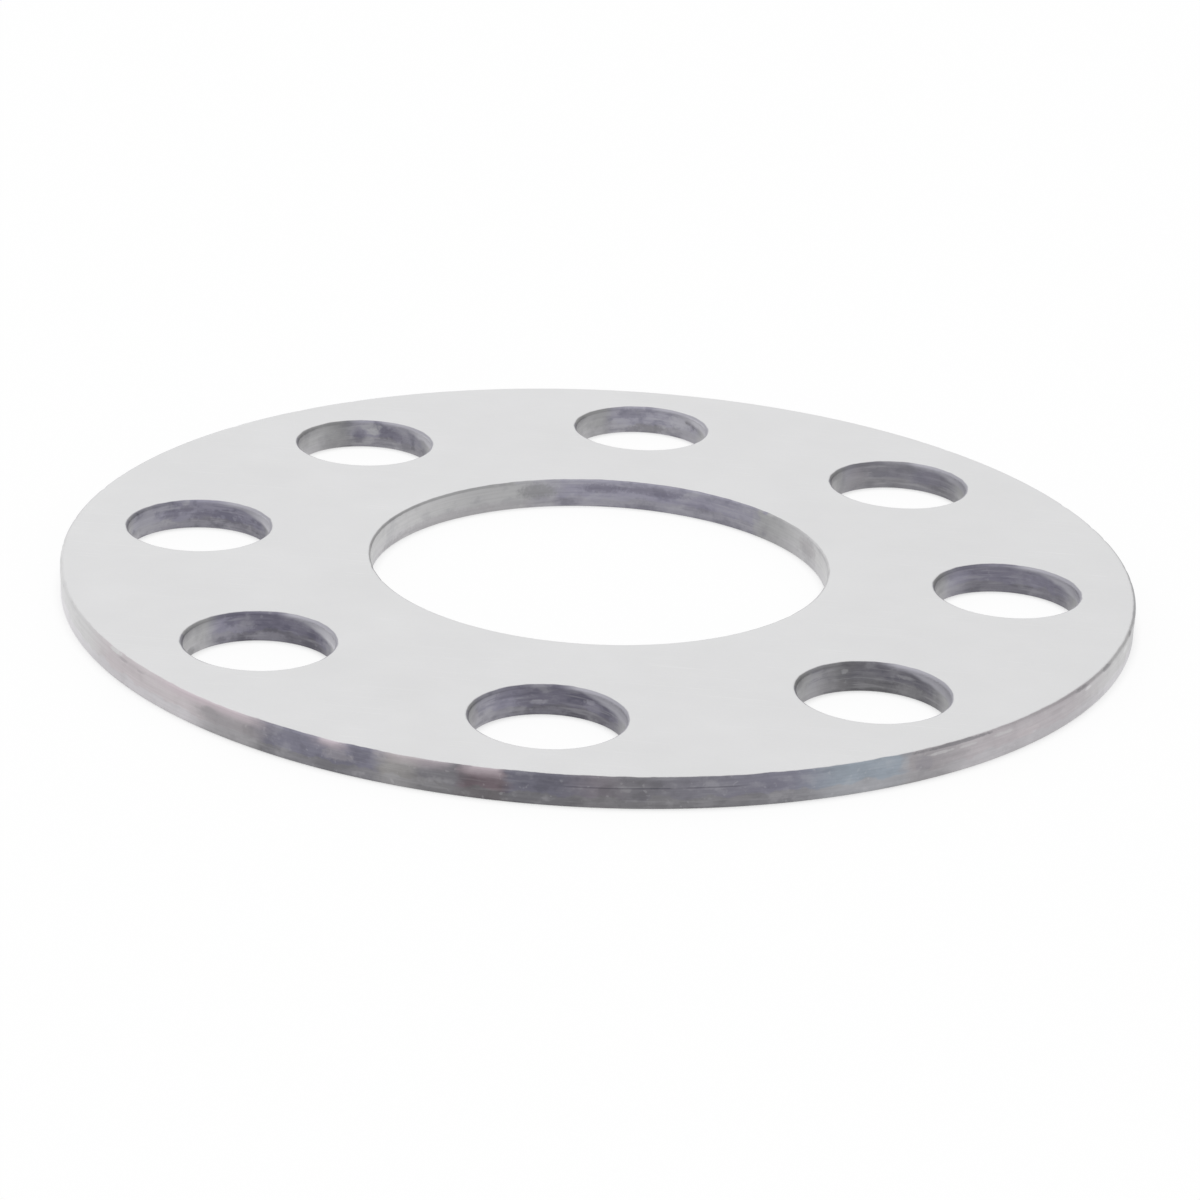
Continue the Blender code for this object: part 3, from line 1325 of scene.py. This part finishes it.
def add_marks(wall, finish, centre, radius, marks, grain, softness):
    """Lays small marks over the wall that runs round a centre at a radius, in metres.

    Grain is how fine their ragged borders are, and softness is how far they fade.
    """
    places = in_millimetres(wall.tree)
    from_centre = vector_maths("SUBTRACT", places, tuple(centre / MM))
    distance = vector_maths("LENGTH", stretched(from_centre, (1.0, 1.0, 0.0)), output="Value")
    radius_mm = radius / MM
    inside, outside = MARK_REACH
    here = smooth_range(distance, radius_mm + outside, radius_mm + inside)
    degrees = degrees_round(from_centre)
    height = split(places)[2]
    ragged = (noise_value(places, grain, detail=3.0, roughness=0.7) - 0.5) * 3.0
    for mark in marks:
        across = (degrees - mark.degrees) * (math.radians(radius_mm) / mark.half_length)
        upward = (height - mark.height) * (1.0 / mark.half_height)
        apart = across * across + upward * upward + ragged
        share = smooth_range(apart, 0.9 + softness, 0.9 - softness, last=mark.share) * here
        wall = mix_colours(share, wall, rgba(getattr(finish, mark.tint)))
    return wall


def rim_wall_material(finish, groups, radius):
    """The blanked rim, with the tints that heat left round it."""
    material, tree, shader = new_metal("tinted_rim_wall")
    places = in_millimetres(tree)
    ragged = stretched(places, (0.6, 0.6, 1.2))
    wander = noise_value(ragged, 0.6, detail=3.0, roughness=0.6) - 0.5
    degrees = degrees_round(places) + wander * 3.0
    tint = rim_tint(finish, degrees)
    streaks = use_group(
        tree,
        groups["streaks"],
        colour=tint,
        dark=scaled(tint, smooth_range(brightness(tint), 0.22, 0.42, first=0.74, last=0.91)),
        light=mix_colours(0.22, tint, rgba(finish.bright)),
        clouds=0.7,
        streaks=0.35,
        specks=0.6,
        fineness=0.9,
    )
    thin = 0.0
    for first, last, softness, strength in RIM_THIN_STRETCHES:
        thin = larger(between(degrees, first, last, softness) * strength, thin)
    start, end = ALL_ROUND
    cover = use_group(
        tree,
        groups["cover"],
        film_from=start,
        film_to=end,
        softness=1.0,
        end_softness=1.0,
        worn_below=0.90 - thin * RIM_THIN_WEAR,
        # Painted highlight: lean brings the bare line of the edge lower on the rim's left side.
        lean=0.06,
        brow_from=start,
        brow_to=end,
        brow_foot=2.3,
        brow_top=3.5,
    )
    lines = use_group(tree, groups["lines"])
    wall = mix_colours(thin * cover["Brow"], streaks["Colour"], RIM_THIN_COLOUR)
    wall = add_marks(wall, finish, AXIS, radius, RIM_MARKS, grain=1.1, softness=0.5)
    first, last = RIM_LINE_STRETCH
    line_share = lines["Line"] * between(degrees, first, last, 1.0)
    wall = mix_colours(line_share, wall, shaded(wall, HAIRLINE))
    finish_wall(shader, groups, finish, wall, cover, streaks, lines, RIM_TORN)
    return material


# The stage

FLOOR_RADIUS = 3.0
FLOOR_STEPS = 96
FLOOR_DROP = 0.05 * MM
FLOOR_GREY = 0.86

# Share of plain white in the floor: in the open, and close beside the plate where it shades it
WHITE_SHARE = 0.93
CONTACT_WHITE = 0.55
CONTACT_REACH = 1.2 * MM

SOFTBOX_SIDE = 1.3
SOFTBOX_PLACE = Vector((-0.85, -0.25, 1.35))

# The room: where it is shaded, where it is brighter and how much, and the light that it scatters
SHADED_WAY = Vector((0.66, 0.62, 0.34))
BRIGHTER_WAY = Vector((0.1, -0.1, 1.0))
OVERHEAD_LEVEL = 1.10
SCATTERED_LEVEL = 1.05


def seen_directly(tree):
    """1 for rays from the camera, off metal or through glass, and 0 for light that is scattered."""
    rays = all_signals(tree, place_node(tree, "ShaderNodeLightPath"))
    seen = larger(rays["Is Camera Ray"], rays["Is Glossy Ray"])
    return larger(seen, rays["Is Transmission Ray"])


def floor_material(stage):
    """White card that goes nearly to plain white in the picture but keeps the plate's shadow."""
    material = bpy.data.materials.new("floor_card")
    material.use_nodes = True
    tree = material.node_tree
    tree.nodes.clear()
    fibre = noise_value(in_millimetres(tree), 0.9)
    grey = smooth_range(fibre, 0.2, 0.8, first=FLOOR_GREY - 0.01, last=FLOOR_GREY + 0.01)
    card = scaled(tuple(stage.backdrop), grey)
    matt = signal_from(tree, "ShaderNodeBsdfDiffuse", 0, {"Color": card})
    white = signal_from(tree, "ShaderNodeEmission", 0, {"Color": rgba(stage.backdrop)})
    reach = {"Distance": CONTACT_REACH}
    near = signal_from(tree, "ShaderNodeAmbientOcclusion", "AO", reach, samples=4)
    open_share = smooth_range(near, 0.45, 0.95, first=CONTACT_WHITE, last=WHITE_SHARE)
    inputs = {0: seen_directly(tree) * open_share, 1: matt, 2: white}
    surface = signal_from(tree, "ShaderNodeMixShader", 0, inputs)
    place_node(tree, "ShaderNodeOutputMaterial", {"Surface": surface})
    return material


def make_floor(stage):
    bm = bmesh.new()
    low = Matrix.Translation((0.0, 0.0, PLATE_LOW.z - FLOOR_DROP))
    bmesh.ops.create_circle(bm, cap_ends=True, segments=FLOOR_STEPS, radius=FLOOR_RADIUS, matrix=low)
    mesh = bpy.data.meshes.new("floor")
    bm.to_mesh(mesh)
    bm.free()
    mesh.materials.append(floor_material(stage))
    floor = bpy.data.objects.new("floor", mesh)
    bpy.context.scene.collection.objects.link(floor)


def make_backdrop(stage):
    """The room round the plate: white, brighter overhead and softly shaded at its right hand side."""
    world = bpy.data.worlds.new("backdrop")
    world.use_nodes = True
    bpy.context.scene.world = world
    tree = world.node_tree
    tree.nodes.clear()
    way = signal_from(tree, "ShaderNodeTexCoord", "Generated")
    shaded_way = along(way, SHADED_WAY.normalized())
    level = smooth_range(shaded_way, 0.78, 0.98, first=1.0, last=stage.shade_side)
    overhead = along(way, BRIGHTER_WAY.normalized())
    level = level * smooth_range(overhead, 0.55, 0.95, first=1.0, last=OVERHEAD_LEVEL)
    colour = scaled(tuple(stage.backdrop), level)
    room = signal_from(tree, "ShaderNodeBackground", 0, {"Color": colour, "Strength": 1.0})
    scattered = {"Color": rgba(stage.backdrop), "Strength": SCATTERED_LEVEL}
    light = signal_from(tree, "ShaderNodeBackground", 0, scattered)
    inputs = {0: seen_directly(tree), 1: light, 2: room}
    surface = signal_from(tree, "ShaderNodeMixShader", 0, inputs)
    place_node(tree, "ShaderNodeOutputWorld", {"Surface": surface})


def make_softbox(stage):
    """One large square softbox, above the plate and to its left."""
    light = bpy.data.lights.new("softbox", "AREA")
    light.shape = "SQUARE"
    light.size = SOFTBOX_SIDE
    light.energy = stage.softbox_radiance * math.pi * SOFTBOX_SIDE**2
    softbox = bpy.data.objects.new("softbox", light)
    softbox.location = SOFTBOX_PLACE
    softbox.rotation_euler = (-SOFTBOX_PLACE).to_track_quat("-Z", "Y").to_euler()
    bpy.context.scene.collection.objects.link(softbox)


def make_camera(stage):
    """The camera looks at a point close to the plate's origin, tilted a little to its left."""
    azimuth = stage.camera_azimuth
    level = math.cos(stage.camera_elevation)
    back = Vector((math.sin(azimuth) * level, -math.cos(azimuth) * level, math.sin(stage.camera_elevation)))
    right = Vector((math.cos(azimuth), math.sin(azimuth), 0.0))
    up = back.cross(right)
    tilt = Matrix.Rotation(stage.camera_roll, 3, back)
    right = tilt @ right
    up = tilt @ up
    aim = stage.aim_right * right + stage.aim_up * up
    lens = bpy.data.cameras.new("camera")
    lens.sensor_width = 36.0
    lens.lens = stage.lens_mm
    lens.clip_start = 0.01
    lens.clip_end = 20.0
    camera = bpy.data.objects.new("camera", lens)
    turn = Matrix((right, up, back)).transposed().to_4x4()
    camera.matrix_world = Matrix.Translation(aim + stage.camera_distance * back) @ turn
    bpy.context.scene.collection.objects.link(camera)
    bpy.context.scene.camera = camera


# Operators and panel


class SPACER_OT_make_plate(bpy.types.Operator):
    """Makes the spacer plate, one piece of blanked steel, with its materials"""

    bl_idname = "wheel_spacer.make_plate"
    bl_label = "Make Spacer Plate"

    def execute(self, context):
        sizes = context.scene.spacer_sizes
        finish = context.scene.spacer_finish
        if sizes.pitch_circle + sizes.stud_hole >= sizes.outer_diameter:
            raise ValueError("the stud holes reach past the rim")
        mesh = plate_mesh(sizes)
        groups = make_groups()
        mesh.materials.append(satin_face_material(finish, groups))
        mesh.materials.append(rim_wall_material(finish, groups, sizes.outer_diameter / 2.0))
        walls = (
            (BORE_LOOK, sizes.hub_bore, [(AXIS, BORE_MARKS)]),
            (STUD_HOLE_LOOK, sizes.stud_hole, zip(stud_hole_centres(sizes), HOLE_MARKS)),
        )
        for look, across, marked_centres in walls:
            mesh.materials.append(
                pierced_wall_material(look, finish, groups, across / 2.0, marked_centres)
            )
        plate = bpy.data.objects.new("blanked_spacer_plate", mesh)
        context.scene.collection.objects.link(plate)
        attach(plate, "root")
        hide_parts(PLATE_NODE)
        return {"FINISHED"}


class SPACER_OT_make_stage(bpy.types.Operator):
    """Makes the floor, the backdrop, the softbox and the camera"""

    bl_idname = "wheel_spacer.make_stage"
    bl_label = "Make Stage"

    def execute(self, context):
        stage = context.scene.spacer_stage
        context.scene.view_settings.view_transform = "Standard"
        make_floor(stage)
        make_backdrop(stage)
        make_softbox(stage)
        make_camera(stage)
        return {"FINISHED"}


class SPACER_PT_panel(bpy.types.Panel):
    """The operators, and the sizes and colours that they use"""

    bl_idname = "SPACER_PT_panel"
    bl_label = "Wheel Spacer"
    bl_space_type = "VIEW_3D"
    bl_region_type = "UI"
    bl_category = "Wheel Spacer"

    def draw(self, context):
        layout = self.layout
        scene = context.scene
        layout.operator(SPACER_OT_make_plate.bl_idname)
        layout.operator(SPACER_OT_make_stage.bl_idname)
        for group in (scene.spacer_sizes, scene.spacer_finish, scene.spacer_stage):
            column = layout.column(align=True)
            for name in group.__annotations__:
                column.prop(group, name)


CLASSES = (
    SpacerSizes,
    SpacerFinish,
    SpacerStage,
    SPACER_OT_make_plate,
    SPACER_OT_make_stage,
    SPACER_PT_panel,
)


def register():
    for cls in CLASSES:
        bpy.utils.register_class(cls)
    bpy.types.Scene.spacer_sizes = bpy.props.PointerProperty(type=SpacerSizes)
    bpy.types.Scene.spacer_finish = bpy.props.PointerProperty(type=SpacerFinish)
    bpy.types.Scene.spacer_stage = bpy.props.PointerProperty(type=SpacerStage)


def unregister():
    del bpy.types.Scene.spacer_stage
    del bpy.types.Scene.spacer_finish
    del bpy.types.Scene.spacer_sizes
    for cls in reversed(CLASSES):
        bpy.utils.unregister_class(cls)


def main():
    register()
    bpy.ops.wheel_spacer.make_plate()
    bpy.ops.wheel_spacer.make_stage()


if __name__ == "__main__":
    main()
